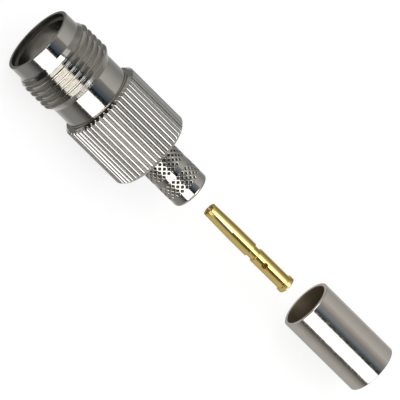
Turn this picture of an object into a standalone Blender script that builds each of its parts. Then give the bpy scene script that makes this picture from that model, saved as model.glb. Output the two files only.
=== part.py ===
"""Threaded coaxial cable jack of the crimp type, drawn apart on one axis.

The pieces lie along X in the order in which they go together: the body with its mouth towards -X, the
centre contact behind it, and the crimp ferrule last. The two loose pieces slide forward along the axis
to their seats. Z is up, the floor is at Z = 0, and the body rests on two ridges of its knurled barrel.
"""
import bmesh
import bpy
from math import cos, floor, pi, radians, sin

MM = 0.001

# Fits between pieces that go into one another
FIT_GAP = 0.05 * MM             # radial, and along the axis between faces that seat
FERRULE_STOP_GAP = 0.3 * MM     # between the seated ferrule and the barrel's rear face

# Coupling thread, 7/16-28, and the lip in front of it
THREAD_MAJOR_D = 11.11 * MM
THREAD_PITCH = 25.4 / 28 * MM
THREAD_DEPTH = 0.54 * MM
CREST_SHARE = 0.125             # of the pitch
FLANK_SHARE = 0.354
LIP_LENGTH = 2.05 * MM
LIP_WALL = 0.42 * MM            # at the very rim
LIP_EDGE = 0.08 * MM
LEAD_SLOPE_LENGTH = 1.0 * MM
THREAD_LENGTH = 3.85 * MM       # of full height, between the two slopes
RUNOUT_LENGTH = 1.05 * MM

# Mating bore
MATING_WALL = 1.49 * MM         # from the thread's crests to the mating bore
REFERENCE_DEPTH = 8.4 * MM      # from the rim to the shoulder that the plug butts against
SHOULDER_WIDTH = 0.565 * MM
RIM_TAPER_DEPTH = 0.57 * MM
RIM_TAPER = 0.08 * MM           # how far the rim closes in before the step to the bore
LEAD_IN_LENGTH = 0.2 * MM
LEAD_IN_WIDTH = 0.385 * MM

# Neck and knurled barrel
NECK_RELIEF = 0.135 * MM        # below the thread's roots
NECK_LENGTH = 3.25 * MM
KNURL_STEP = 0.945 * MM         # from the neck up to the ridges
KNURL_LENGTH = 10.1 * MM
KNURL_RIDGES = 48
KNURL_DEPTH = 0.25 * MM
FRONT_CHAMFER_LENGTH = 0.35 * MM
FRONT_CHAMFER_WIDTH = 0.35 * MM
REAR_CHAMFER_LENGTH = 0.45 * MM
REAR_CHAMFER_WIDTH = 0.42 * MM

# Insulator
BOSS_D = 4.8 * MM
BOSS_LENGTH = 5.1 * MM          # in front of the reference shoulder
INSULATOR_FLANGE_LENGTH = 3.85 * MM
INSULATOR_STEP = 0.8 * MM       # how far its flange stands out over its middle
BOSS_EDGE = 0.15 * MM

# Crimp stem and the bushing that it stands on
BUSHING_LENGTH = 2.9 * MM
STEM_D = 5.4 * MM
STEM_BORE_D = 3.9 * MM
STEM_LEAD_LENGTH = 0.7 * MM
STEM_RING_LENGTH = 0.45 * MM    # plain, between the two knurled bands
STEM_TAIL_LENGTH = 1.35 * MM
STEM_END_RADIUS = 0.4 * MM
STEM_ENTRY = 0.12 * MM          # chamfer where the cable goes in
BAND_RAISE = 0.05 * MM
PITS_ROUND = 20
PIT_ROWS = 5
PIT_DEPTH = 0.17 * MM

# Centre contact
CONTACT_D = 2.06 * MM
CONTACT_TIP_D = 1.85 * MM
CONTACT_TAPER_LENGTH = 4.3 * MM
SOCKET_LENGTH = 7.8 * MM
SOCKET_BORE_D = 1.4 * MM
SOCKET_TIP_BORE_D = 1.26 * MM
SOCKET_DEPTH = 6.2 * MM
SOCKET_ENTRY = 0.1 * MM
SLOT_LENGTH = 4.2 * MM
SLOT_TIP_WIDTH = 0.06 * MM
SLOT_ROOT_WIDTH = 0.32 * MM
GROOVE_LENGTH = 1.0 * MM
GROOVE_DEPTH = 0.2 * MM
CRIMP_LENGTH = 5.35 * MM
CONTACT_FLANGE_LENGTH = 0.65 * MM
CONTACT_FLANGE_STEP = 0.19 * MM
CONTACT_EDGE = 0.08 * MM
WIRE_BORE_D = 0.95 * MM
WIRE_BORE_DEPTH = 5.3 * MM
WIRE_ENTRY = 0.3 * MM
HOLE_D = 0.92 * MM
HOLE_FROM_REAR = 4.35 * MM
HOLE_ANGLE = radians(132)       # round the axis from +Y towards +Z, and the slots lie in line with it

# Crimp ferrule
FERRULE_D = 7.32 * MM
FERRULE_WALL = 0.46 * MM
FERRULE_LENGTH = 12.6 * MM
FERRULE_EDGE = 0.1 * MM

# How far apart the pieces lie
CONTACT_APART = 3.35 * MM       # from the stem's end to the contact's tip
FERRULE_APART = 3.6 * MM        # from the contact's end to the ferrule

# Facets
SIDES = KNURL_RIDGES            # round the shell, so that each ridge stands on one corner
CONTACT_SIDES = 24
HOLE_SIDES = 16
ARC_STEPS = 4
FIRST_ANGLE = -pi / 2 + 21 * pi / SIDES     # the thread starts here, 10.5 sides past straight down
ROW_GAP = 0.1 * MM              # least distance between two rows of the thread's run-out

# Worked out from the above, as radii and as distances from the rim
THREAD_R = THREAD_MAJOR_D / 2
ROOT_R = THREAD_R - THREAD_DEPTH
NECK_R = ROOT_R - NECK_RELIEF
KNURL_R = NECK_R + KNURL_STEP
BORE_R = THREAD_R - MATING_WALL
MOUTH_R = BORE_R + LEAD_IN_WIDTH
RIM_R = MOUTH_R + RIM_TAPER
LIP_R = RIM_R + LIP_WALL
INNER_R = BORE_R - SHOULDER_WIDTH
SEAT_R = INNER_R + INSULATOR_STEP

CREST_START = LIP_LENGTH + CREST_SHARE * THREAD_PITCH
RUNOUT_START = LIP_LENGTH + LEAD_SLOPE_LENGTH + THREAD_LENGTH
NECK_START = RUNOUT_START + RUNOUT_LENGTH
KNURL_START = NECK_START + NECK_LENGTH
SHELL_LENGTH = KNURL_START + KNURL_LENGTH

PIT_STEP = pi * STEM_D / (2 * PITS_ROUND)   # the same along the stem as round it, so the ridges lie at 45 degrees
BAND_LENGTH = (PIT_ROWS + 1) * PIT_STEP
STEM_LENGTH = STEM_LEAD_LENGTH + 2 * BAND_LENGTH + STEM_RING_LENGTH + STEM_TAIL_LENGTH
STEM_START = SHELL_LENGTH - BUSHING_LENGTH

CONTACT_LENGTH = SOCKET_LENGTH + GROOVE_LENGTH + CRIMP_LENGTH + CONTACT_FLANGE_LENGTH
CONTACT_R = CONTACT_D / 2
CONTACT_FLANGE_R = CONTACT_R + CONTACT_FLANGE_STEP
INSULATOR_FRONT = REFERENCE_DEPTH - BOSS_LENGTH
INSULATOR_REAR = STEM_START - FIT_GAP
SEAT_START = INSULATOR_REAR - INSULATOR_FLANGE_LENGTH - FIT_GAP
CONTACT_SEAT = INSULATOR_REAR - CONTACT_LENGTH

CONTACT_START = SHELL_LENGTH + STEM_LENGTH + CONTACT_APART
FERRULE_START = CONTACT_START + CONTACT_LENGTH + FERRULE_APART
CONTACT_TRAVEL = CONTACT_START - CONTACT_SEAT
FERRULE_TRAVEL = FERRULE_START - SHELL_LENGTH - FERRULE_STOP_GAP

RIM_X = -(FERRULE_START + FERRULE_LENGTH) / 2
AXIS_Z = KNURL_R * cos(pi / SIDES)


def clear_scene():
    for old in list(bpy.data.objects):
        bpy.data.objects.remove(old, do_unlink=True)


def finish(name, colour, metallic, roughness):
    material = bpy.data.materials.new(name)
    material.use_nodes = True
    shader = material.node_tree.nodes["Principled BSDF"]
    shader.inputs["Base Color"].default_value = (*colour, 1)
    shader.inputs["Metallic"].default_value = metallic
    shader.inputs["Roughness"].default_value = roughness
    return material


def place(bm, name, material, start, parent):
    """Make an object of the mesh, with its origin on the axis at the given distance from the rim."""
    bmesh.ops.recalc_face_normals(bm, faces=bm.faces)
    mesh = bpy.data.meshes.new(name)
    bm.to_mesh(mesh)
    bm.free()
    mesh.materials.append(material)
    mesh.shade_smooth()
    mesh.set_sharp_from_angle(angle=radians(30))
    piece = bpy.data.objects.new(name, mesh)
    bpy.context.scene.collection.objects.link(piece)
    piece.parent = parent
    piece.location.x = start
    return piece


def point(bm, x, radius, angle):
    return bm.verts.new((x, radius * cos(angle), radius * sin(angle)))


def loop(bm, x, radii, count, first=FIRST_ANGLE):
    """A loop of points round the axis. The radii repeat round it, so two of them make ridges."""
    return [point(bm, x, radii[i % len(radii)], first + 2 * pi * i / count) for i in range(count)]


def skin(bm, front, rear):
    """Faces between two loops of equal count, or of which one has twice the points of the other."""
    count = min(len(front), len(rear))
    front_step = len(front) // count
    rear_step = len(rear) // count
    for i in range(count):
        near = [front[(i * front_step + k) % len(front)] for k in range(front_step + 1)]
        far = [rear[(i * rear_step + k) % len(rear)] for k in range(rear_step + 1)]
        bm.faces.new(near + far[::-1])


def turned(outline, sides, first=FIRST_ANGLE):
    """Turn an outline of (distance, radius) points. One that ends on the axis at both ends stays open there."""
    bm = bmesh.new()
    corners = [point(bm, x, radius, first) for x, radius in outline]
    edges = [bm.edges.new(pair) for pair in zip(corners, corners[1:])]
    if outline[0][1] > 0:
        edges.append(bm.edges.new((corners[-1], corners[0])))
    bmesh.ops.spin(bm, geom=corners + edges, cent=(0, 0, 0), axis=(1, 0, 0), angle=2 * pi, steps=sides)
    bmesh.ops.remove_doubles(bm, verts=bm.verts, dist=1e-7)
    return bm


def thread_radius(x, share):
    """Radius of the threaded part: crests and roots, cut down by the slope at either end."""
    rise = LIP_R + (THREAD_R - LIP_R) * (x - LIP_LENGTH) / LEAD_SLOPE_LENGTH
    fall = NECK_R + (THREAD_R - NECK_R) * (NECK_START - x) / RUNOUT_LENGTH
    full = THREAD_R if share <= CREST_SHARE else ROOT_R
    return min(full, rise, fall)


def thread(bm, front):
    """The right-handed thread behind a loop of points. Each row is a helix, and it meets its next turn at the seam."""
    shares = (0, CREST_SHARE, CREST_SHARE + FLANK_SHARE, 1 - FLANK_SHARE)
    per_turn = len(shares)
    crest = CREST_SHARE * THREAD_PITCH
    turns = floor((NECK_START - 2 * ROW_GAP - CREST_START - crest) / THREAD_PITCH) - 1
    last = turns * per_turn + 1
    rows = []
    for k in range(last + 1):
        share = shares[k % per_turn]
        row = []
        for i in range(SIDES):
            x = CREST_START + (k // per_turn + share + i / SIDES) * THREAD_PITCH
            row.append(point(bm, x, thread_radius(x, share), FIRST_ANGLE + 2 * pi * i / SIDES))
        rows.append(row)

    runout = []
    for i in range(SIDES):
        x = max(RUNOUT_START, rows[-1][i].co.x + ROW_GAP)
        runout.append(point(bm, x, thread_radius(x, 0), FIRST_ANGLE + 2 * pi * i / SIDES))
    neck = loop(bm, NECK_START, [NECK_R], SIDES)

    for i in range(SIDES - 1):
        bm.faces.new((front[i], front[i + 1], rows[0][i + 1], rows[0][i]))
        bm.faces.new((rows[-1][i], rows[-1][i + 1], runout[i + 1], runout[i]))
        for low, high in zip(rows, rows[1:]):
            bm.faces.new((low[i], low[i + 1], high[i + 1], high[i]))
    for k in range(last - per_turn):
        bm.faces.new((rows[k][-1], rows[k + per_turn][0], rows[k + per_turn + 1][0], rows[k + 1][-1]))

    # Both ends of the groove close at the seam, each with a fan of small faces
    mouth = [front[0]] + [row[0] for row in rows[:per_turn + 1]]
    bm.faces.new((front[-1], front[0], rows[0][-1]))
    for a, b in zip(mouth, mouth[1:]):
        bm.faces.new((rows[0][-1], a, b))
    tail = [rows[-1][0]] + [row[-1] for row in rows[last - per_turn:]] + [runout[-1]]
    for a, b in zip(tail, tail[1:]):
        bm.faces.new((runout[0], b, a))
    skin(bm, runout, neck)
    return neck


def jack_shell(material, parent):
    bm = bmesh.new()
    edge_r = LIP_R - LIP_EDGE
    rim = loop(bm, 0, [RIM_R], SIDES)
    face = loop(bm, 0, [edge_r], SIDES)
    edge = loop(bm, LIP_EDGE, [LIP_R], SIDES)
    lip_end = loop(bm, LIP_LENGTH, [LIP_R], SIDES)
    for front, rear in ((rim, face), (face, edge), (edge, lip_end)):
        skin(bm, front, rear)
    last = thread(bm, lip_end)

    ridge = [KNURL_R, KNURL_R - KNURL_DEPTH]
    front_ridge = [min(r, KNURL_R - FRONT_CHAMFER_WIDTH) for r in ridge]
    rear_ridge = [min(r, KNURL_R - REAR_CHAMFER_WIDTH) for r in ridge]
    outline = (
        (KNURL_START, [NECK_R]),
        (KNURL_START, front_ridge),
        (KNURL_START + FRONT_CHAMFER_LENGTH, ridge),
        (SHELL_LENGTH - REAR_CHAMFER_LENGTH, ridge),
        (SHELL_LENGTH, rear_ridge),
        (SHELL_LENGTH, [SEAT_R]),
        (SEAT_START, [SEAT_R]),
        (SEAT_START, [INNER_R]),
        (REFERENCE_DEPTH, [INNER_R]),
        (REFERENCE_DEPTH, [BORE_R]),
        (RIM_TAPER_DEPTH + LEAD_IN_LENGTH, [BORE_R]),
        (RIM_TAPER_DEPTH, [MOUTH_R]),
    )
    for x, radii in outline:
        here = loop(bm, x, radii, SIDES * len(radii))
        skin(bm, last, here)
        last = here
    skin(bm, last, rim)
    return place(bm, "jack_shell", material, 0, parent)


def pit_face(bm, corners, ridge_first):
    """Split one face of the diamond knurl along the line that joins its two high corners."""
    a, b, c, d = corners
    halves = ((a, b, c), (a, c, d)) if ridge_first else ((a, b, d), (b, c, d))
    for half in halves:
        bm.faces.new(half)


def knurl_band(bm, last, start, first):
    """A band of pits between crossing ridges. Neighbouring rows of pits stand half a step apart."""
    count = 2 * PITS_ROUND
    high = STEM_D / 2 + BAND_RAISE
    here = loop(bm, start, [high], count, first)
    skin(bm, last, here)
    last = here
    for row in range(1, PIT_ROWS + 2):
        shift = row % 2
        radii = [high - PIT_DEPTH, high]
        if shift:
            radii.reverse()
        if row > PIT_ROWS:
            radii = [high]
        here = loop(bm, start + row * PIT_STEP, radii, count, first)
        for i in range(count):
            j = (i + 1) % count
            pit_face(bm, (last[i], last[j], here[j], here[i]), (i + row) % 2 == 1)
        last = here
    return last


def crimp_stem(material, parent):
    bm = bmesh.new()
    first = -pi / 2
    count = 2 * PITS_ROUND
    stem_r = STEM_D / 2
    bore_r = STEM_BORE_D / 2
    bushing_r = SEAT_R - FIT_GAP
    band_one = BUSHING_LENGTH + STEM_LEAD_LENGTH
    band_two = band_one + BAND_LENGTH + STEM_RING_LENGTH
    end = BUSHING_LENGTH + STEM_LENGTH

    rim = loop(bm, 0, [bore_r], count, first)
    last = rim
    for x, radius in ((0, bushing_r), (BUSHING_LENGTH, bushing_r), (BUSHING_LENGTH, stem_r), (band_one, stem_r)):
        here = loop(bm, x, [radius], count, first)
        skin(bm, last, here)
        last = here
    last = knurl_band(bm, last, band_one, first)
    for x in (band_one + BAND_LENGTH, band_two):
        here = loop(bm, x, [stem_r], count, first)
        skin(bm, last, here)
        last = here
    last = knurl_band(bm, last, band_two, first)

    tail = [(band_two + BAND_LENGTH, stem_r)]
    for k in range(ARC_STEPS + 1):
        turn = pi / 2 * k / ARC_STEPS
        x = end - STEM_END_RADIUS + STEM_END_RADIUS * sin(turn)
        tail.append((x, stem_r - STEM_END_RADIUS + STEM_END_RADIUS * cos(turn)))
    tail += [(end, bore_r + STEM_ENTRY), (end - STEM_ENTRY, bore_r)]
    for x, radius in tail:
        here = loop(bm, x, [radius], count, first)
        skin(bm, last, here)
        last = here
    skin(bm, last, rim)
    return place(bm, "crimp_stem", material, STEM_START, parent)


def front_insulator(material, parent):
    """Origin at its rear face, which lies against the bushing."""
    front = INSULATOR_FRONT - INSULATOR_REAR
    shoulder = REFERENCE_DEPTH - INSULATOR_REAR
    boss_r = BOSS_D / 2
    pocket_x = -CONTACT_FLANGE_LENGTH - FIT_GAP
    outline = (
        (front, CONTACT_R + FIT_GAP),
        (front, boss_r - BOSS_EDGE),
        (front + BOSS_EDGE, boss_r),
        (shoulder, boss_r),
        (shoulder, INNER_R - FIT_GAP),
        (-INSULATOR_FLANGE_LENGTH, INNER_R - FIT_GAP),
        (-INSULATOR_FLANGE_LENGTH, SEAT_R - FIT_GAP),
        (0, SEAT_R - FIT_GAP),
        (0, CONTACT_FLANGE_R + FIT_GAP),
        (pocket_x, CONTACT_FLANGE_R + FIT_GAP),
        (pocket_x, CONTACT_R + FIT_GAP),
    )
    return place(turned(outline, SIDES), "front_insulator", material, INSULATOR_REAR, parent)


def cutter(bm, name, parent):
    piece = place(bm, name, bpy.data.materials.new(name), 0, parent)
    piece.hide_render = True
    piece.display_type = "WIRE"
    return piece


def slot_cutter(name, angle, parent):
    """A wedge through the whole socket, narrow at the tip where the bent tines come together."""
    bm = bmesh.new()
    before = -CONTACT_R
    grow = (SLOT_ROOT_WIDTH - SLOT_TIP_WIDTH) / SLOT_LENGTH
    outline = []
    for x in (before, SLOT_LENGTH):
        half = (SLOT_TIP_WIDTH + grow * max(x, 0)) / 2
        outline.append((x, half))
    corners = outline + [(x, -half) for x, half in outline[::-1]]
    bottom = bm.faces.new([bm.verts.new((x, y, -CONTACT_D)) for x, y in corners])
    extruded = bmesh.ops.extrude_face_region(bm, geom=[bottom])["geom"]
    top = [v for v in extruded if isinstance(v, bmesh.types.BMVert)]
    bmesh.ops.translate(bm, verts=top, vec=(0, 0, 2 * CONTACT_D))
    piece = cutter(bm, name, parent)
    piece.rotation_euler.x = angle
    return piece


def hole_cutter(name, parent):
    """A round hole from one side into the wire bore, but not out of the far side."""
    bm = bmesh.new()
    reach = CONTACT_D
    bmesh.ops.create_cone(bm, cap_ends=True, segments=HOLE_SIDES, radius1=HOLE_D / 2, radius2=HOLE_D / 2, depth=reach)
    bmesh.ops.translate(bm, verts=bm.verts, vec=(0, 0, reach / 2))
    piece = cutter(bm, name, parent)
    piece.location.x = CONTACT_LENGTH - HOLE_FROM_REAR
    piece.rotation_euler.x = HOLE_ANGLE - pi / 2
    return piece


def center_contact(material, parent):
    tip_r = CONTACT_TIP_D / 2
    groove = SOCKET_LENGTH
    crimp = groove + GROOVE_LENGTH
    flange = crimp + CRIMP_LENGTH
    outline = (
        (SOCKET_DEPTH, 0),
        (SOCKET_DEPTH, SOCKET_BORE_D / 2),
        (CONTACT_TAPER_LENGTH, SOCKET_BORE_D / 2),
        (SOCKET_ENTRY, SOCKET_TIP_BORE_D / 2),
        (0, SOCKET_TIP_BORE_D / 2 + SOCKET_ENTRY),
        (0, tip_r - CONTACT_EDGE),
        (CONTACT_EDGE, tip_r),
        (CONTACT_TAPER_LENGTH, CONTACT_R),
        (groove - CONTACT_EDGE, CONTACT_R),
        (groove, CONTACT_R - CONTACT_EDGE),
        (groove, CONTACT_R - GROOVE_DEPTH),
        (crimp, CONTACT_R - GROOVE_DEPTH),
        (crimp, CONTACT_R - CONTACT_EDGE),
        (crimp + CONTACT_EDGE, CONTACT_R),
        (flange, CONTACT_R),
        (flange, CONTACT_FLANGE_R - CONTACT_EDGE),
        (flange + CONTACT_EDGE, CONTACT_FLANGE_R),
        (CONTACT_LENGTH - CONTACT_EDGE, CONTACT_FLANGE_R),
        (CONTACT_LENGTH, CONTACT_FLANGE_R - CONTACT_EDGE),
        (CONTACT_LENGTH, WIRE_BORE_D / 2 + WIRE_ENTRY),
        (CONTACT_LENGTH - WIRE_ENTRY, WIRE_BORE_D / 2),
        (CONTACT_LENGTH - WIRE_BORE_DEPTH, WIRE_BORE_D / 2),
        (CONTACT_LENGTH - WIRE_BORE_DEPTH, 0),
    )
    bm = turned(outline, CONTACT_SIDES, -pi / 2 + pi / CONTACT_SIDES)
    contact = place(bm, "center_contact", material, CONTACT_START, parent)
    cutters = [
        slot_cutter("slot_cutter_a", HOLE_ANGLE, contact),
        slot_cutter("slot_cutter_b", HOLE_ANGLE + pi / 2, contact),
        hole_cutter("hole_cutter", contact),
    ]
    for tool in cutters:
        cut = contact.modifiers.new(tool.name, "BOOLEAN")
        cut.operation = "DIFFERENCE"
        cut.object = tool
    return contact


def crimp_ferrule(material, parent):
    outer = FERRULE_D / 2
    inner = outer - FERRULE_WALL
    outline = (
        (0, inner + FERRULE_EDGE),
        (0, outer - FERRULE_EDGE),
        (FERRULE_EDGE, outer),
        (FERRULE_LENGTH - FERRULE_EDGE, outer),
        (FERRULE_LENGTH, outer - FERRULE_EDGE),
        (FERRULE_LENGTH, inner + FERRULE_EDGE),
        (FERRULE_LENGTH - FERRULE_EDGE, inner),
        (FERRULE_EDGE, inner),
    )
    return place(turned(outline, SIDES), "crimp_ferrule", material, FERRULE_START, parent)


clear_scene()
axis = bpy.data.objects.new("connector_axis", None)
bpy.context.scene.collection.objects.link(axis)
axis.location = (RIM_X, 0, AXIS_Z)

nickel = finish("nickel plated brass", (0.55, 0.54, 0.51), 1.0, 0.22)
satin_nickel = finish("satin nickel plated copper", (0.58, 0.56, 0.52), 1.0, 0.3)
gold = finish("gold plated brass", (0.83, 0.66, 0.3), 1.0, 0.24)
ptfe = finish("PTFE", (0.9, 0.9, 0.88), 0.0, 0.45)

jack_shell(nickel, axis)
crimp_stem(nickel, axis)
front_insulator(ptfe, axis)
center_contact(gold, axis)
crimp_ferrule(satin_nickel, axis)
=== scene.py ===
from math import cos, hypot, pi, radians, sin, tan

import bmesh
import bpy
from mathutils import Matrix, Vector


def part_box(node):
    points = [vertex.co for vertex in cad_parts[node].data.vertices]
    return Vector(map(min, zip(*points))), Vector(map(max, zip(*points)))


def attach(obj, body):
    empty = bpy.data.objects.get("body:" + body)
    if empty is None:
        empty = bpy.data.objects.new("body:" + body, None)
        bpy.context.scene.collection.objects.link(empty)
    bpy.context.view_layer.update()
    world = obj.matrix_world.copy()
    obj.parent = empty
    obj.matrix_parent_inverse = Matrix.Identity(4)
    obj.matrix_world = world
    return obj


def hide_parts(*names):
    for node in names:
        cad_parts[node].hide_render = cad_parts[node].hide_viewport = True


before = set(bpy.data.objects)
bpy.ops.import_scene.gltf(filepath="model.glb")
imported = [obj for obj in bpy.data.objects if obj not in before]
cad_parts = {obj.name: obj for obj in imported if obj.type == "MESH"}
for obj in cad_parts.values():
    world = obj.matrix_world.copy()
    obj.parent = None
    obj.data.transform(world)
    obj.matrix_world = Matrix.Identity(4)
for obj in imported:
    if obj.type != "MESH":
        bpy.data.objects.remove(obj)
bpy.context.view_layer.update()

MM = 0.001


# Jack shell: one piece of turned brass with a bright nickel plate. The lip, the coupling thread, the neck
# and the straight-knurled barrel are cut from the same bar, and the bore steps through it. The thread is
# chased and the knurl is rolled, so the plate lies over slightly softened ridges.

shell_low, shell_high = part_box("jack_shell")
rim_x = shell_low[0]
shell_length = (shell_high[0] - rim_x) / MM
axis_z = (shell_low[2] + shell_high[2]) / 2
barrel_r = (shell_high[1] - shell_low[1]) / 2 / MM

# Radii and distances from the rim, in millimetres
crest_r = 11.11 / 2
thread_pitch = 25.4 / 28
root_r = crest_r - 0.54
neck_r = root_r - 0.135
lip_r = 4.95
rim_r = 4.53
mouth_r = 4.45
bore_r = 4.065
inner_r = 3.5
seat_r = 4.3
lip_end = 2.05
slope_end = lip_end + 1.0
runout_start = slope_end + 3.85
neck_start = runout_start + 1.05
barrel_start = neck_start + 3.25
reference_depth = 8.4
seat_start = 14.45
rim_taper_depth = 0.57
bore_start = rim_taper_depth + 0.2
front_chamfer = 0.45
rear_chamfer_length = 0.45
rear_chamfer_width = 0.42
thread_start = lip_end - 0.405
crest_share = 0.125                # of a pitch
root_share = 0.48                  # of a pitch, from the middle of a crest to the root
tool_withdrawn_from = runout_start - 0.1
tool_clear = runout_start + 0.35
tool_withdrawn_by = 0.6
ridge_count = 48
sides_per_ridge = 10
knurl_depth = 0.32
first_angle = radians(146.25)      # where the groove begins from nothing on the slope


def rounded(corners, steps=4):
    """A closed outline with each corner of (distance, radius, corner radius) as an arc. A point a little
    past each end of an arc keeps the shading of the flat beside it flat."""
    past_arc = 1.3
    points = []
    for k, (x, r, radius) in enumerate(corners):
        here = Vector((x, r))
        if not radius:
            points.append(here)
            continue
        back = (Vector(corners[k - 1][:2]) - here).normalized()
        ahead = (Vector(corners[(k + 1) % len(corners)][:2]) - here).normalized()
        half = back.angle(ahead) / 2
        reach = radius / tan(half)
        centre = here + (back + ahead).normalized() * (radius / sin(half))
        start = here + back * reach - centre
        sweep = start.angle_signed(here + ahead * reach - centre)
        points.append(here + back * (reach * past_arc))
        for s in range(steps + 1):
            points.append(centre + Matrix.Rotation(-sweep * s / steps, 2) @ start)
        points.append(here + ahead * (reach * past_arc))
    return points


def spaced(start, end, step):
    """Plain corners about a step apart on the line between two (distance, radius) points."""
    a, b = Vector(start), Vector(end)
    count = round((b - a).length / step)
    return [(*a.lerp(b, k / count), 0) for k in range(1, count)]


def add(tree, kind, inputs=None, **settings):
    """Add a node with its settings, and fill its inputs with values or link them to sockets."""
    made = tree.nodes.new(kind)
    for name, value in settings.items():
        setattr(made, name, value)
    for key, value in (inputs or {}).items():
        if isinstance(value, bpy.types.NodeSocket):
            tree.links.new(value, made.inputs[key])
        else:
            made.inputs[key].default_value = value
    return made


def turning_tree(name, sizes=(), relief=None):
    """Nodes that turn an outline round the X axis. relief is given the share of a turn and the distance
    along the axis, and returns the radius past which the metal is cut away there."""
    tree = bpy.data.node_groups.new(name, "GeometryNodeTree")
    face = tree.interface
    face.new_socket("Outline", in_out="INPUT", socket_type="NodeSocketGeometry")
    face.new_socket("Turned piece", in_out="OUTPUT", socket_type="NodeSocketGeometry")
    face.new_socket("Sides", in_out="INPUT", socket_type="NodeSocketInt")
    face.new_socket("Finish", in_out="INPUT", socket_type="NodeSocketMaterial")
    for size in sizes:
        face.new_socket(size, in_out="INPUT", socket_type="NodeSocketFloat")
    given = add(tree, "NodeGroupInput").outputs

    rows = add(tree, "GeometryNodeAttributeDomainSize", {"Geometry": given["Outline"]}, component="MESH")
    columns = add(tree, "ShaderNodeMath", {0: given["Sides"], 1: 1.0}, operation="ADD")
    grid = add(tree, "GeometryNodeMeshGrid", {
        "Size X": 1.0, "Size Y": 1.0,
        "Vertices X": rows.outputs["Point Count"], "Vertices Y": columns.outputs[0]})
    index = add(tree, "GeometryNodeInputIndex")
    share = add(tree, "ShaderNodeMath", {0: index.outputs[0], 1: columns.outputs[0]}, operation="DIVIDE")
    row = add(tree, "ShaderNodeMath", {0: share.outputs[0]}, operation="FLOOR")
    column = add(tree, "ShaderNodeMath", {
        0: index.outputs[0], 1: columns.outputs[0]}, operation="MODULO")
    outline_point = add(tree, "GeometryNodeSampleIndex", {
        "Geometry": given["Outline"], "Value": add(tree, "GeometryNodeInputPosition").outputs[0],
        "Index": row.outputs[0]}, data_type="FLOAT_VECTOR")
    place = add(tree, "ShaderNodeSeparateXYZ", {0: outline_point.outputs[0]})
    turn = add(tree, "ShaderNodeMath", {0: column.outputs[0], 1: given["Sides"]}, operation="DIVIDE")
    angle = add(tree, "ShaderNodeMath", {
        0: turn.outputs[0], 1: 2 * pi, 2: first_angle}, operation="MULTIPLY_ADD")
    radius = place.outputs["Z"]
    if relief:
        cut = relief(tree, given, turn.outputs[0], place.outputs["X"])
        radius = add(tree, "ShaderNodeMath", {0: radius, 1: cut}, operation="MINIMUM").outputs[0]
    cosine = add(tree, "ShaderNodeMath", {0: angle.outputs[0]}, operation="COSINE")
    sine = add(tree, "ShaderNodeMath", {0: angle.outputs[0]}, operation="SINE")
    y = add(tree, "ShaderNodeMath", {0: radius, 1: cosine.outputs[0]}, operation="MULTIPLY")
    z = add(tree, "ShaderNodeMath", {0: radius, 1: sine.outputs[0]}, operation="MULTIPLY")
    spot = add(tree, "ShaderNodeCombineXYZ", {0: place.outputs["X"], 1: y.outputs[0], 2: z.outputs[0]})
    bent = add(tree, "GeometryNodeSetPosition", {
        "Geometry": grid.outputs["Mesh"], "Position": spot.outputs[0]})
    # The grid's first and last columns meet, and are joined where they lie less than 0.0005 mm apart
    closed = add(tree, "GeometryNodeMergeByDistance", {"Geometry": bent.outputs[0], "Distance": 0.0005})
    smooth = add(tree, "GeometryNodeSetShadeSmooth", {"Geometry": closed.outputs[0]})
    real = add(tree, "GeometryNodeRealizeInstances", {"Geometry": smooth.outputs[0]})
    dressed = add(tree, "GeometryNodeSetMaterial", {
        "Geometry": real.outputs[0], "Material": given["Finish"]})
    add(tree, "NodeGroupOutput", {"Turned piece": dressed.outputs[0]})
    return tree


def turned(name, outline, tree, start, finish, sides, sizes=None):
    """Turn an outline in millimetres into a plain mesh in metres that begins at start. An outline that
    begins on the axis stays open there."""
    points = outline + outline[:1] if outline[0][1] > 0 else outline
    wire = bpy.data.meshes.new(name + "_outline")
    wire.from_pydata([(p[0], 0, p[1]) for p in points], [], [])
    maker = bpy.data.objects.new(name + "_maker", wire)
    bpy.context.scene.collection.objects.link(maker)
    modifier = maker.modifiers.new("turning", "NODES")
    modifier.node_group = tree
    given = {"Sides": sides, "Finish": finish, **(sizes or {})}
    for item in tree.interface.items_tree:
        if item.name in given:
            modifier[item.identifier] = given[item.name]
    depsgraph = bpy.context.evaluated_depsgraph_get()
    mesh = bpy.data.meshes.new_from_object(maker.evaluated_get(depsgraph))
    bpy.data.objects.remove(maker)
    mesh.transform(Matrix.Translation((start, 0, axis_z)) @ Matrix.Scale(MM, 4))
    mesh.name = name
    piece = bpy.data.objects.new(name, mesh)
    bpy.context.scene.collection.objects.link(piece)
    return piece


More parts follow.
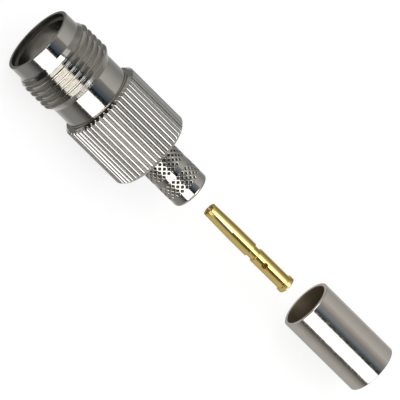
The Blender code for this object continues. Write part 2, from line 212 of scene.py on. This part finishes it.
def thread_and_knurl(tree, given, turn, x):
    """A right-handed helix with flat flanks in front of the neck's middle, and straight rounded ridges
    behind it. Ahead of the helix's start nothing is cut."""
    along = add(tree, "ShaderNodeMath", {0: x, 1: given["Thread start"]}, operation="SUBTRACT")
    pitches = add(tree, "ShaderNodeMath", {0: along.outputs[0], 1: given["Pitch"]}, operation="DIVIDE")
    helix = add(tree, "ShaderNodeMath", {0: pitches.outputs[0], 1: turn}, operation="SUBTRACT")
    centred = add(tree, "ShaderNodeMath", {
        0: helix.outputs[0], 1: crest_share / 2}, operation="SUBTRACT")
    begun = add(tree, "ShaderNodeMath", {0: centred.outputs[0], 1: 0.0}, operation="MAXIMUM")
    from_crest = add(tree, "ShaderNodeMath", {0: begun.outputs[0], 1: 0.5}, operation="PINGPONG")
    flanks = add(tree, "ShaderNodeMapRange", {
        0: from_crest.outputs[0], 1: crest_share / 2, 2: root_share,
        3: given["Crest radius"], 4: given["Root radius"]})
    # The chasing tool is drawn out of the groove as the thread ends
    withdrawn = add(tree, "ShaderNodeMapRange", {
        0: x, 1: given["Tool withdrawn from"], 2: given["Tool clear"],
        3: 0.0, 4: given["Tool withdrawn by"]})
    thread = add(tree, "ShaderNodeMath", {0: flanks.outputs[0], 1: withdrawn.outputs[0]}, operation="ADD")
    ridges = add(tree, "ShaderNodeMath", {0: turn, 1: given["Ridges"]}, operation="MULTIPLY")
    from_ridge = add(tree, "ShaderNodeMath", {0: ridges.outputs[0], 1: 0.5}, operation="PINGPONG")
    # A ridge falls off with the cube of the distance from its middle: broad on top and steep at its sides
    cubed = add(tree, "ShaderNodeMath", {0: from_ridge.outputs[0], 1: 3.0}, operation="POWER")
    knurl = add(tree, "ShaderNodeMapRange", {
        0: cubed.outputs[0], 1: 0.0, 2: 0.5 ** 3, 3: given["Ridge radius"], 4: given["Groove radius"]})
    behind = add(tree, "ShaderNodeMath", {0: x, 1: given["Middle of neck"]}, operation="GREATER_THAN")
    return add(tree, "ShaderNodeMix", {
        "Factor": behind.outputs[0], "A": thread.outputs[0], "B": knurl.outputs[0]}).outputs[0]


def linear(hex_colour):
    """An sRGB hex colour as linear RGBA."""
    parts = [int(hex_colour[k:k + 2], 16) / 255 for k in (1, 3, 5)]
    return (*[c / 12.92 if c <= 0.04045 else ((c + 0.055) / 1.055) ** 2.4 for c in parts], 1)


def plated(name, colours, roughness, tool_lines, grain, grain_size=0.3):
    """Plate over turned metal. The colour and the roughness wander a little between two values each. Tool
    lines run round the axis, and a faint grain makes the edges of reflections uneven. The height of both
    and the grain's size are in millimetres."""
    metal = bpy.data.materials.new(name)
    metal.use_nodes = True
    tree = metal.node_tree
    shader = tree.nodes["Principled BSDF"]
    shader.inputs["Metallic"].default_value = 1.0
    spot = add(tree, "ShaderNodeTexCoord").outputs["Object"]
    place = add(tree, "ShaderNodeSeparateXYZ", {0: spot})
    # The cutter's feed is 0.05 mm a turn, too fine to show, so its lines are drawn 0.16 mm apart
    line_gap, cloud_size = 0.16, 1.6
    feed = add(tree, "ShaderNodeMath", {
        0: place.outputs["X"], 1: 1 / (line_gap * MM)}, operation="MULTIPLY")
    lines = add(tree, "ShaderNodeTexNoise", {
        "W": feed.outputs[0], "Scale": 1.0, "Detail": 2.0}, noise_dimensions="1D")
    clouds = add(tree, "ShaderNodeTexNoise", {
        "Vector": spot, "Scale": 1 / (cloud_size * MM), "Detail": 3.0})
    specks = add(tree, "ShaderNodeTexNoise", {
        "Vector": spot, "Scale": 1 / (grain_size * MM), "Detail": 2.0})
    tone = add(tree, "ShaderNodeMix", {
        "Factor": clouds.outputs[0], 6: linear(colours[0]), 7: linear(colours[1])}, data_type="RGBA")
    tree.links.new(tone.outputs[2], shader.inputs["Base Color"])
    worn = add(tree, "ShaderNodeMapRange", {
        0: specks.outputs[0], 1: 0.35, 2: 0.65, 3: roughness[0], 4: roughness[1]})
    tree.links.new(worn.outputs[0], shader.inputs["Roughness"])
    scored = add(tree, "ShaderNodeBump", {
        "Height": lines.outputs[0], "Strength": 1.0, "Distance": tool_lines * MM})
    grained = add(tree, "ShaderNodeBump", {
        "Height": specks.outputs[0], "Strength": 1.0, "Distance": grain * MM,
        "Normal": scored.outputs[0]})
    tree.links.new(grained.outputs[0], shader.inputs["Normal"])
    return metal


# Bright nickel plate: a neutral mirror, faintly warm, with crisp bands of white and black along the
# turned faces and only a trace of the tool lines under it
bright_nickel = plated(
    "bright nickel plate", ("#CCC9C2", "#C2BEB5"), (0.07, 0.13), tool_lines=0.004, grain=0.003)

# The same plate over the rolled ridges: it is satin there, so each ridge shows one soft line of light
knurl_nickel = plated(
    "satin nickel plate on the knurl", ("#CFCDC8", "#C6C4BF"), (0.2, 0.27), tool_lines=0.001, grain=0.002)

# The same plate in the bore, where it is satin and a shade darker, with hardly any tool lines
bored_nickel = plated(
    "nickel plate in the bore", ("#C4C2BD", "#BEBCB7"), (0.2, 0.26), tool_lines=0.0005, grain=0.0005)

# Painted shade: the rim's taper and the walls and floors of the stem's pits get a dark, rougher copy of the
# plate, which darkens these recesses as shade would
painted_shade_nickel = plated(
    "nickel plate with painted shade", ("#6B6862", "#63605A"), (0.3, 0.4), tool_lines=0.0005, grain=0.001)

row_step = thread_pitch / 14
chamfer_step = 0.05
chamfer_end = barrel_start + front_chamfer
rear_chamfer_start = shell_length - rear_chamfer_length
rear_r = barrel_r - rear_chamfer_width
shell_outline = rounded((
    (0, rim_r, 0.03), (0, lip_r, 0.08), (lip_end, lip_r, 0.03),
    *spaced((lip_end, lip_r), (slope_end, crest_r), row_step), (slope_end, crest_r, 0),
    *spaced((slope_end, crest_r), (runout_start, crest_r), row_step), (runout_start, crest_r, 0),
    *spaced((runout_start, crest_r), (neck_start, neck_r), row_step), (neck_start, neck_r, 0.1),
    (barrel_start, neck_r, 0.08), (barrel_start, barrel_r - front_chamfer, 0.03),
    *spaced((barrel_start, barrel_r - front_chamfer), (chamfer_end, barrel_r), chamfer_step),
    (chamfer_end, barrel_r, 0.08), (rear_chamfer_start, barrel_r, 0.1),
    *spaced((rear_chamfer_start, barrel_r), (shell_length, rear_r), chamfer_step),
    (shell_length, rear_r, 0.03), (shell_length, seat_r, 0.04),
    (seat_start, seat_r, 0), (seat_start, inner_r, 0),
    (reference_depth, inner_r, 0.05), (reference_depth, bore_r, 0),
    (bore_start, bore_r, 0.05), (rim_taper_depth, mouth_r, 0.03),
), steps=3)
shell = turned(
    "turned_shell", shell_outline,
    turning_tree("shell with thread and straight knurl", (
        "Thread start", "Pitch", "Crest radius", "Root radius", "Ridges", "Ridge radius", "Groove radius",
        "Middle of neck", "Tool withdrawn from", "Tool clear", "Tool withdrawn by"), thread_and_knurl),
    rim_x, bright_nickel, ridge_count * sides_per_ridge, {
        "Thread start": thread_start, "Pitch": thread_pitch, "Crest radius": crest_r, "Root radius": root_r,
        "Ridges": float(ridge_count), "Ridge radius": barrel_r, "Groove radius": barrel_r - knurl_depth,
        "Middle of neck": (neck_start + barrel_start) / 2,
        "Tool withdrawn from": tool_withdrawn_from, "Tool clear": tool_clear,
        "Tool withdrawn by": tool_withdrawn_by})


def place_of(point):
    """How far a point lies behind the rim and from the axis, in millimetres."""
    return (point.x - rim_x) / MM, hypot(point.y, point.z - axis_z) / MM


# The ridges and the bore have finishes of their own, and the rim's taper gets the dark plate as painted
# shade. Each limit has some room, because the middle of a face doesn't lie exactly on the turned surface.
room = 0.02
shell.data.materials.append(knurl_nickel)
shell.data.materials.append(bored_nickel)
shell.data.materials.append(painted_shade_nickel)
knurl_slot, bore_slot, painted_shade_slot = range(len(shell.data.materials) - 3, len(shell.data.materials))
for face in shell.data.polygons:
    behind_rim, out = place_of(face.center)
    # The rim's taper is darkened with painted shade
    if room / 2 < behind_rim < bore_start + room and out < rim_r:
        face.material_index = painted_shade_slot
    elif out < room + (mouth_r if behind_rim < seat_start else seat_r):
        face.material_index = bore_slot
    elif chamfer_end < behind_rim < shell_length - room / 2:
        face.material_index = knurl_slot
# The thread is soft at its edges, and only the ridges and the bore keep theirs sharp
shell.data.set_sharp_from_angle(angle=radians(50))
for edge in shell.data.edges:
    behind_rim, out = place_of(shell.data.vertices[edge.vertices[0]].co)
    if behind_rim < barrel_start and out > rim_r + 0.1:
        edge.use_edge_sharp = False
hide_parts("jack_shell")
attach(shell, "connector_body")


# Front insulator: a bushing turned from a white PTFE rod. Its slim boss stands in the mating bore, and its
# wide flange is held between the shell's seat and the bushing of the crimp stem.

insulator_low, insulator_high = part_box("front_insulator")
boss_front = (insulator_low[0] - rim_x) / MM
insulator_end = (insulator_high[0] - rim_x) / MM
boss_r = 4.8 / 2
fit_gap = 0.05
contact_r = 2.06 / 2
contact_flange_r = contact_r + 0.19
contact_flange_length = 0.65

# PTFE: waxy, slightly see-through white, with faint rings from turning. They are drawn 0.2 mm apart, a
# little coarser than they are, so that they show.
ptfe = bpy.data.materials.new("turned PTFE")
ptfe.use_nodes = True
tree = ptfe.node_tree
wax = tree.nodes["Principled BSDF"]
wax.inputs["Base Color"].default_value = linear("#EEECE6")
wax.inputs["IOR"].default_value = 1.38
wax.inputs["Subsurface Weight"].default_value = 0.15
wax.inputs["Subsurface Radius"].default_value = (0.6, 0.5, 0.45)
wax.inputs["Subsurface Scale"].default_value = MM
along_rod = add(tree, "ShaderNodeSeparateXYZ", {0: add(tree, "ShaderNodeTexCoord").outputs["Object"]})
ring_gap = 0.2
turns = add(tree, "ShaderNodeMath", {
    0: along_rod.outputs["X"], 1: 1 / (ring_gap * MM)}, operation="MULTIPLY")
turning_marks = add(tree, "ShaderNodeTexNoise", {
    "W": turns.outputs[0], "Scale": 1.0}, noise_dimensions="1D")
dull = add(tree, "ShaderNodeMapRange", {0: turning_marks.outputs[0], 1: 0.3, 2: 0.7, 3: 0.4, 4: 0.55})
tree.links.new(dull.outputs[0], wax.inputs["Roughness"])
marked = add(tree, "ShaderNodeBump", {"Height": turning_marks.outputs[0], "Distance": 0.01 * MM})
tree.links.new(marked.outputs[0], wax.inputs["Normal"])

plain_turning = turning_tree("plain turning")
pocket = insulator_end - contact_flange_length - fit_gap
insulator = turned("turned_insulator", rounded((
    (boss_front, contact_r + fit_gap, 0), (boss_front, boss_r, 0.15), (reference_depth, boss_r, 0),
    (reference_depth, inner_r - fit_gap, 0), (seat_start + fit_gap, inner_r - fit_gap, 0),
    (seat_start + fit_gap, seat_r - fit_gap, 0), (insulator_end, seat_r - fit_gap, 0),
    (insulator_end, contact_flange_r + fit_gap, 0), (pocket, contact_flange_r + fit_gap, 0),
    (pocket, contact_r + fit_gap, 0),
)), plain_turning, rim_x, ptfe, sides=96)
insulator.data.set_sharp_from_angle(angle=radians(40))
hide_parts("front_insulator")
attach(insulator, "connector_body")


# Crimp stem: a brass bushing with a thin tube behind it, pressed into the shell's rear. The cable's braid
# goes over the tube, so two bands of pits are rolled into it between crossing ridges to hold the braid.

stem_low, stem_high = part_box("crimp_stem")
stem_start = (stem_low[0] - rim_x) / MM
stem_end = (stem_high[0] - rim_x) / MM
stem_r = 5.4 / 2
stem_bore_r = 3.9 / 2
stem_lead = 0.7
pits_round = 20
sides_per_pit = 16
pit_rows = 5
pit_step = pi * 2 * stem_r / (2 * pits_round)
band_length = (pit_rows + 1) * pit_step
band_gap = 0.45
band_one = shell_length + stem_lead
band_two = band_one + band_length + band_gap
pit_depth = 0.24
bushing_r = seat_r - fit_gap


def pits(tree, given, turn, x):
    """Diamond pits between two families of ridges that cross at 45 degrees, in two bands. The foot and
    the top of a pit's wall are shares of the pattern's step from the pit's middle."""
    wall_foot, wall_top = 0.1, 0.33
    second = add(tree, "ShaderNodeMath", {0: x, 1: given["Between bands"]}, operation="GREATER_THAN")
    start = add(tree, "ShaderNodeMix", {
        "Factor": second.outputs[0], "A": given["First band"], "B": given["Second band"]})
    along = add(tree, "ShaderNodeMath", {0: x, 1: start.outputs[0]}, operation="SUBTRACT")
    steps = add(tree, "ShaderNodeMath", {0: along.outputs[0], 1: given["Pit step"]}, operation="DIVIDE")
    # The second band was rolled half a pattern on from the first
    shift = add(tree, "ShaderNodeMath", {0: steps.outputs[0], 1: second.outputs[0]}, operation="ADD")
    halves = add(tree, "ShaderNodeMath", {0: shift.outputs[0], 1: 0.5}, operation="MULTIPLY")
    round_share = add(tree, "ShaderNodeMath", {0: turn, 1: given["Pits round"]}, operation="MULTIPLY")
    depth = 1.0
    for sign in ("ADD", "SUBTRACT"):
        diagonal = add(tree, "ShaderNodeMath", {
            0: halves.outputs[0], 1: round_share.outputs[0]}, operation=sign)
        moved = add(tree, "ShaderNodeMath", {0: diagonal.outputs[0], 1: 0.5}, operation="ADD")
        from_pit = add(tree, "ShaderNodeMath", {0: moved.outputs[0], 1: 0.5}, operation="PINGPONG")
        sunk = add(tree, "ShaderNodeMapRange", {
            0: from_pit.outputs[0], 1: wall_top, 2: wall_foot, 3: 0.0, 4: 1.0})
        depth = add(tree, "ShaderNodeMath", {
            0: sunk.outputs[0], 1: depth}, operation="MINIMUM").outputs[0]
    # No pit is sunk past the rows of its band
    middle = add(tree, "ShaderNodeMath", {
        0: steps.outputs[0], 1: (pit_rows + 1) / 2}, operation="SUBTRACT")
    off_middle = add(tree, "ShaderNodeMath", {0: middle.outputs[0]}, operation="ABSOLUTE")
    in_band = add(tree, "ShaderNodeMapRange", {
        0: off_middle.outputs[0], 1: pit_rows / 2 + 0.1, 2: pit_rows / 2, 3: 0.0, 4: 1.0})
    real_depth = add(tree, "ShaderNodeMath", {0: depth, 1: in_band.outputs[0]}, operation="MULTIPLY")
    bottom = add(tree, "ShaderNodeMath", {
        0: real_depth.outputs[0], 1: given["Pit depth"], 2: given["Land radius"]}, operation="MULTIPLY_ADD")
    return bottom.outputs[0]


land_r = stem_r + 0.02
band_rise = 0.12
pit_row_step = pit_step / 12
stem_corners = [
    (stem_start, stem_bore_r, 0), (stem_start, bushing_r, 0),
    (shell_length, bushing_r, 0.03), (shell_length, stem_r, 0.06)]
for band in (band_one, band_two):
    stem_corners += [
        (band, stem_r, 0), (band + band_rise, land_r, 0),
        *spaced((band + band_rise, land_r), (band + band_length - band_rise, land_r), pit_row_step),
        (band + band_length - band_rise, land_r, 0), (band + band_length, stem_r, 0)]
stem_corners += [(stem_end, stem_r, 0.4), (stem_end, stem_bore_r, 0.1)]
stem = turned(
    "turned_stem", rounded(stem_corners, steps=6),
    turning_tree("stem with diamond knurl", (
        "Between bands", "First band", "Second band", "Pit step", "Pits round", "Pit depth",
        "Land radius"), pits),
    rim_x, bright_nickel, pits_round * sides_per_pit, {
        "Between bands": (band_one + band_length + band_two) / 2,
        "First band": band_one, "Second band": band_two, "Pit step": pit_step,
        "Pits round": float(pits_round), "Pit depth": -pit_depth, "Land radius": land_r})
# Faces behind the barrel, below the lands and outside the bore are the walls and floors of the pits, which
# get the dark plate as painted shade
stem.data.materials.append(painted_shade_nickel)
for face in stem.data.polygons:
    behind_rim, out = place_of(face.center)
    if shell_length < behind_rim < stem_end - 1 and stem_bore_r + 0.1 < out < stem_r - 0.05:
        face.material_index = len(stem.data.materials) - 1
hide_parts("crimp_stem")
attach(stem, "connector_body")


# Centre contact: a turned brass pin socket with a gold plate. Its front half is bored and slit into four
# springy tines that are bent in at the tip, and the wire is crimped or soldered in the rear half, where a
# small round hole shows how far in it has gone.

contact_low, contact_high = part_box("center_contact")
contact_start = contact_low[0]
contact_length = (contact_high[0] - contact_start) / MM
tip_r = 1.85 / 2
taper_end = 4.3
socket_length = 7.8
socket_depth = 6.2
socket_bore_r = 0.7
socket_mouth_r = 0.63
mouth_chamfer = 0.1
groove_r = contact_r - 0.2
crimp_start = socket_length + 1.0
flange_start = contact_length - contact_flange_length
wire_bore_depth = 5.3
wire_bore_r = 0.475
countersink = 0.3
bored_within_r = 0.78              # just past the widest part of either bore
slot_length = 4.2
slot_angle = radians(122)
slot_slant = -0.34
slot_half_at_tip = 0.03
slot_half_at_end = 0.15
hole_middle = contact_length - 4.35
hole_r = 0.46
hole_sides = 32
hole_angle = radians(132)

# Gold plate over the turned contact: deep yellow in its darks, nearly white in its lights
gold = plated("gold plate", ("#F0D582", "#EBCC78"), (0.1, 0.16), tool_lines=0.004, grain=0.002)

# The same plate in the bores, where it is dull, so that the wire hole shows brown rather than black
bored_gold = plated(
    "dull gold plate in the bores", ("#F2D98E", "#EDD184"), (0.5, 0.6), tool_lines=0.0005, grain=0.001)

contact = turned("turned_contact", rounded((
    (socket_depth, 0, 0), (socket_depth, socket_bore_r, 0), (taper_end, socket_bore_r, 0),
    (mouth_chamfer, socket_mouth_r, 0), (0, socket_mouth_r + mouth_chamfer, 0.02), (0, tip_r, 0.08),
    (taper_end, contact_r, 0), (socket_length, contact_r, 0.06),
    (socket_length, groove_r, 0.03), (crimp_start, groove_r, 0.03),
    (crimp_start, contact_r, 0.06), (flange_start, contact_r, 0.04),
    (flange_start, contact_flange_r, 0.06), (contact_length, contact_flange_r, 0.1),
    (contact_length, wire_bore_r + countersink, 0.03), (contact_length - countersink, wire_bore_r, 0.03),
    (contact_length - wire_bore_depth, wire_bore_r, 0), (contact_length - wire_bore_depth, 0, 0),
)), plain_turning, contact_start, gold, sides=96)


def cut_away(piece, corners, depth, angle, slant=0):
    """Cut a prism out of a piece. Its corners are millimetres along and across the axis, its depth runs
    between two distances from the axis, and it is turned round the axis to the angle. The slant is how
    far each millimetre of its depth is moved along the axis."""
    bm = bmesh.new()
    floor_face = bm.faces.new([bm.verts.new((x, y, depth[0])) for x, y in corners])
    grown = bmesh.ops.extrude_face_region(bm, geom=[floor_face])["geom"]
    top = [v for v in grown if isinstance(v, bmesh.types.BMVert)]
    bmesh.ops.translate(bm, verts=top, vec=(0, 0, depth[1] - depth[0]))
    for v in bm.verts:
        v.co.x += slant * (v.co.z - contact_r)
    bmesh.ops.recalc_face_normals(bm, faces=bm.faces)
    tool_mesh = bpy.data.meshes.new("tool")
    bm.to_mesh(tool_mesh)
    bm.free()
    upright = Matrix.Translation((contact_start, 0, axis_z)) @ Matrix.Scale(MM, 4)
    tool_mesh.transform(upright @ Matrix.Rotation(angle, 4, "X"))
    tool = bpy.data.objects.new("tool", tool_mesh)
    bpy.context.scene.collection.objects.link(tool)
    cut = piece.modifiers.new("cut", "BOOLEAN")
    cut.operation = "DIFFERENCE"
    cut.object = tool
    depsgraph = bpy.context.evaluated_depsgraph_get()
    mesh = bpy.data.meshes.new_from_object(piece.evaluated_get(depsgraph))
    piece.modifiers.clear()
    piece.data = mesh
    bpy.data.objects.remove(tool)


# Each saw slot goes right through and parts two pairs of tines. It is narrow at the tip, where the tines
# are bent in, and leans along the axis, so that light comes through it right up to its end.
past_tip, past_side = -1, 2
slot_corners = (
    (past_tip, slot_half_at_tip), (0, slot_half_at_tip), (slot_length, slot_half_at_end),
    (slot_length, -slot_half_at_end), (0, -slot_half_at_tip), (past_tip, -slot_half_at_tip))
for quarter in (0, pi / 2):
    cut_away(contact, slot_corners, (-past_side, past_side), slot_angle - pi / 2 + quarter, slot_slant)
hole_corners = [
    (hole_middle + hole_r * cos(2 * pi * k / hole_sides), hole_r * sin(2 * pi * k / hole_sides))
    for k in range(hole_sides)]
cut_away(contact, hole_corners, (0, past_side), hole_angle - pi / 2)
contact.data.set_sharp_from_angle(angle=radians(35))
contact.data.materials.append(bored_gold)
for face in contact.data.polygons:
    if place_of(face.center)[1] < bored_within_r:
        face.material_index = len(contact.data.materials) - 1
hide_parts("center_contact")
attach(contact, "contact")


# Crimp ferrule: a length of drawn, annealed copper tube with a satin nickel plate, cut off and deburred.
# It slides over the braid on the stem, where the crimping tool squeezes it.

ferrule_low, ferrule_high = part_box("crimp_ferrule")
ferrule_length = (ferrule_high[0] - ferrule_low[0]) / MM
ferrule_r = (ferrule_high[1] - ferrule_low[1]) / 2 / MM
ferrule_wall = 0.46
ferrule_bore_r = ferrule_r - ferrule_wall

# Satin nickel plate: paler and softer than the turned parts, with a fine grain from the drawn tube
satin_nickel = plated(
    "satin nickel plate", ("#D9D2C7", "#D0C9BC"), (0.08, 0.2), tool_lines=0.0005, grain=0.003,
    grain_size=0.25)

# Hardly any plate gets into the bore, so the tube stays as it was drawn there: dull and brown
drawn_bore = plated(
    "dull bore of the tube", ("#A39681", "#9A8D78"), (0.4, 0.5), tool_lines=0.001, grain=0.001)

ferrule = turned("drawn_ferrule", rounded((
    (0, ferrule_bore_r, 0.04), (0, ferrule_r, 0.08), (ferrule_length, ferrule_r, 0.12),
    (ferrule_length, ferrule_bore_r, 0.1),
)), plain_turning, ferrule_low[0], satin_nickel, sides=192)
ferrule.data.materials.append(drawn_bore)
for face in ferrule.data.polygons:
    if place_of(face.center)[1] < ferrule_bore_r + room:
        face.material_index = len(ferrule.data.materials) - 1
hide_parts("crimp_ferrule")
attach(ferrule, "ferrule")


# Floor, camera and studio: white paper under the parts, one long lens, and a light tent whose white cards
# and black flags give the bands in the metal. The tent is seen by the metal alone.

floor_half = 1.5
floor_drop = 0.01 * MM             # keeps the floor clear of what lies on it
floor_mesh = bpy.data.meshes.new("floor")
floor_mesh.from_pydata(
    [(x * floor_half, y * floor_half, -floor_drop) for x, y in ((-1, -1), (1, -1), (1, 1), (-1, 1))],
    [], [(0, 1, 2, 3)])
floor_piece = bpy.data.objects.new("floor", floor_mesh)
bpy.context.scene.collection.objects.link(floor_piece)
floor_piece.visible_glossy = False
# Paper: matt. Its own colour is grey, so that it throws little light up, and a glow that only the camera
# sees makes it white.
paper_glow = 0.76
paper = bpy.data.materials.new("white paper")
paper.use_nodes = True
tree = paper.node_tree
sheet = tree.nodes["Principled BSDF"]
sheet.inputs["Base Color"].default_value = linear("#9A9A9A")
sheet.inputs["Roughness"].default_value = 0.9
sheet.inputs["Specular IOR Level"].default_value = 0.0
seen = add(tree, "ShaderNodeLightPath")
glow = add(tree, "ShaderNodeMath", {0: seen.outputs["Is Camera Ray"], 1: paper_glow}, operation="MULTIPLY")
tree.links.new(glow.outputs[0], sheet.inputs["Emission Strength"])
sheet.inputs["Emission Color"].default_value = (1, 1, 1, 1)
floor_mesh.materials.append(paper)

# The camera stands in front and above, a little towards the mouth, and is rolled until the axis runs
# from corner to corner
view_elevation = radians(60)
view_slant = radians(18.8)
axis_roll = radians(44.6)
camera_distance = 1.2
photo_width = 400
focal_pixels = 9403.7
aim_behind_rim = 30.51
aim = Vector((rim_x + aim_behind_rim * MM, 0, axis_z))
toward = Vector((0, -cos(view_elevation), sin(view_elevation)))
back = (toward * cos(view_slant) - Vector((1, 0, 0)) * sin(view_slant)).normalized()
axis_way = Vector((cos(view_slant), 0, 0)) + toward * sin(view_slant)
over = back.cross(axis_way)
right = axis_way * cos(axis_roll) + over * sin(axis_roll)
up = back.cross(right)
camera_data = bpy.data.cameras.new("camera")
camera_data.sensor_width = 36
camera_data.lens = focal_pixels * camera_data.sensor_width / photo_width
camera_data.clip_end = 10
camera = bpy.data.objects.new("camera", camera_data)
bpy.context.scene.collection.objects.link(camera)
facing = Matrix((right, up, back)).transposed().to_4x4()
camera.matrix_world = Matrix.Translation(aim + back * camera_distance) @ facing
bpy.context.scene.camera = camera

# What the metal sees, in rings for directions that lean towards the mouth by up to the given angle, in
# degrees. Each entry is an angle round the axis, in degrees above the horizon in front, and how bright it
# is there, or its colour.
blue_black = (0.05, 0.08, 0.12)
blue_grey = (0.08, 0.115, 0.17)
tent = (
    (-52, ((-180, 0.28), (180, 0.28))),
    (3, ((-180, 0.3), (-150, 0.42), (-110, 0.75), (-92, 0.6), (-61, 0.34), (-40, 0.34), (-24, 0.3),
         (-9, 0.16), (0, 0.07), (9, 0.05), (11, 2.6), (58, 2.6), (60, 0.01), (71, 0.015),
         (73, blue_black), (78, blue_grey), (85, (0.12, 0.155, 0.19)), (91, 0.2), (102, 0.255),
         (108, 0.3), (111, 0.63), (116, 0.61), (129, 0.56), (143, 0.49), (161, 0.38), (180, 0.3))),
    (27, ((-180, 0.2), (4, 0.19), (8, 0.03), (95, 0.03), (100, 0.22), (180, 0.22))),
    (57, ((-180, 0.4), (-52, 0.5), (-46, 0.02), (7, 0.02), (9, 2.6), (79, 2.6), (80, blue_grey),
          (85, blue_grey), (87, 0.8), (107, 0.7), (110, 0.28), (180, 0.4))),
    (90, ((-180, 0.25), (-50, 0.25), (-45, 0.02), (104, 0.02), (108, 0.25), (180, 0.25))),
)
ring_softness = 0.03               # radians
tent_strength = 3.4
paper_light = 0.9                  # for what isn't a reflection


def light_ramp(tree, y, z, entries):
    """The colours of the entries round the axis, read for a direction or a place by its y and z."""
    front = add(tree, "ShaderNodeMath", {0: y, 1: -1.0}, operation="MULTIPLY")
    height = add(tree, "ShaderNodeMath", {0: z, 1: front.outputs[0]}, operation="ARCTAN2")
    share = add(tree, "ShaderNodeMapRange", {0: height.outputs[0], 1: -pi, 2: pi, 3: 0.0, 4: 1.0})
    ramp = add(tree, "ShaderNodeValToRGB", {0: share.outputs[0]})
    stops = ramp.color_ramp.elements
    stops.remove(stops[1])
    for degrees, level in entries:
        stop = stops.new((degrees + 180) / 360) if degrees > -180 else stops[0]
        levels = level if isinstance(level, tuple) else (level, level, level)
        stop.color = (*[one / tent_strength for one in levels], 1)
    return ramp.outputs[0]


world = bpy.data.worlds.new("light tent")
bpy.context.scene.world = world
world.use_nodes = True
tree = world.node_tree
tree.nodes.clear()
way = add(tree, "ShaderNodeSeparateXYZ", {0: add(tree, "ShaderNodeTexCoord").outputs["Generated"]})
lean = add(tree, "ShaderNodeMath", {0: way.outputs["X"]}, operation="ARCSINE")
rings = [light_ramp(tree, way.outputs["Y"], way.outputs["Z"], entries) for _, entries in tent]
tent_colour = rings[0]
for (limit, _), ring in zip(tent, rings[1:]):
    edge = -radians(limit)
    past = add(tree, "ShaderNodeMapRange", {
        0: lean.outputs[0], 1: edge + ring_softness, 2: edge - ring_softness, 3: 0.0, 4: 1.0})
    tent_colour = add(tree, "ShaderNodeMix", {
        "Factor": past.outputs[0], 6: tent_colour, 7: ring}, data_type="RGBA").outputs[2]
path = add(tree, "ShaderNodeLightPath")
tent_light = add(tree, "ShaderNodeBackground", {"Color": tent_colour, "Strength": tent_strength})
soft_light = add(tree, "ShaderNodeBackground", {"Color": (1, 1, 1, 1), "Strength": paper_light})
white = add(tree, "ShaderNodeBackground", {"Color": (1, 1, 1, 1), "Strength": 1.0})
lit = add(tree, "ShaderNodeMixShader", {
    0: path.outputs["Is Glossy Ray"], 1: soft_light.outputs[0], 2: tent_light.outputs[0]})
shown = add(tree, "ShaderNodeMixShader", {
    0: path.outputs["Is Camera Ray"], 1: lit.outputs[0], 2: white.outputs[0]})
add(tree, "ShaderNodeOutputWorld", {0: shown.outputs[0]})


def small_tent(name, start, end, radius, entries):
    """A sleeve of light round a piece, which was photographed on its own. Only reflections show it. Its
    ends are in metres and its radius in millimetres, and its entries are like those of the tent."""
    bm = bmesh.new()
    count = 72
    circle = [
        (radius * MM * cos(2 * pi * k / count), radius * MM * sin(2 * pi * k / count))
        for k in range(count)]
    ends = [[bm.verts.new((x, y, axis_z + z)) for y, z in circle] for x in (start, end)]
    for k in range(count):
        bm.faces.new((ends[0][k - 1], ends[0][k], ends[1][k], ends[1][k - 1]))
    sleeve_mesh = bpy.data.meshes.new(name)
    bm.to_mesh(sleeve_mesh)
    bm.free()
    sleeve = bpy.data.objects.new(name, sleeve_mesh)
    bpy.context.scene.collection.objects.link(sleeve)
    sleeve.visible_camera = sleeve.visible_diffuse = False
    sleeve.visible_shadow = sleeve.visible_transmission = False
    cloth = bpy.data.materials.new(name + " cloth")
    cloth.use_nodes = True
    tree = cloth.node_tree
    tree.nodes.clear()
    spot = add(tree, "ShaderNodeVectorMath", {
        0: add(tree, "ShaderNodeTexCoord").outputs["Object"], 1: (0, 0, axis_z)}, operation="SUBTRACT")
    place = add(tree, "ShaderNodeSeparateXYZ", {0: spot.outputs[0]})
    glowing = add(tree, "ShaderNodeEmission", {
        "Color": light_ramp(tree, place.outputs["Y"], place.outputs["Z"], entries),
        "Strength": tent_strength})
    add(tree, "ShaderNodeOutputMaterial", {0: glowing.outputs[0]})
    sleeve_mesh.materials.append(cloth)


small_tent("contact tent", contact_start + 3.4 * MM, ferrule_low[0] + 0.6 * MM, 12, (
    (-180, 0.5), (-60, 0.48), (-36, 0.57), (5, 0.56), (18, 0.45), (28, 0.1), (54, 0.07), (60, 0.1),
    (65, 3.4), (92, 3.4), (98, 1.4), (103, 0.95), (119, 0.5), (136, 0.32), (155, 0.21), (180, 0.24)))
small_tent("ferrule tent", ferrule_low[0] + 2 * MM, ferrule_high[0] + 8 * MM, 14, (
    (-180, 0.45), (-150, 0.6), (-100, 0.6), (-78, 0.46), (-52, 0.53), (-33, 0.53), (-12, 0.36),
    (2, 0.12), (12, 0.06), (16, 2.6), (59, 2.6), (61.5, 0.03), (71, 0.04), (76, blue_grey),
    (84, (0.19, 0.25, 0.31)), (96, 0.28), (109, 0.43), (122, 0.6), (137, 0.54), (153, 0.49),
    (172, 0.42), (180, 0.42)))

bpy.context.scene.view_settings.view_transform = "Standard"
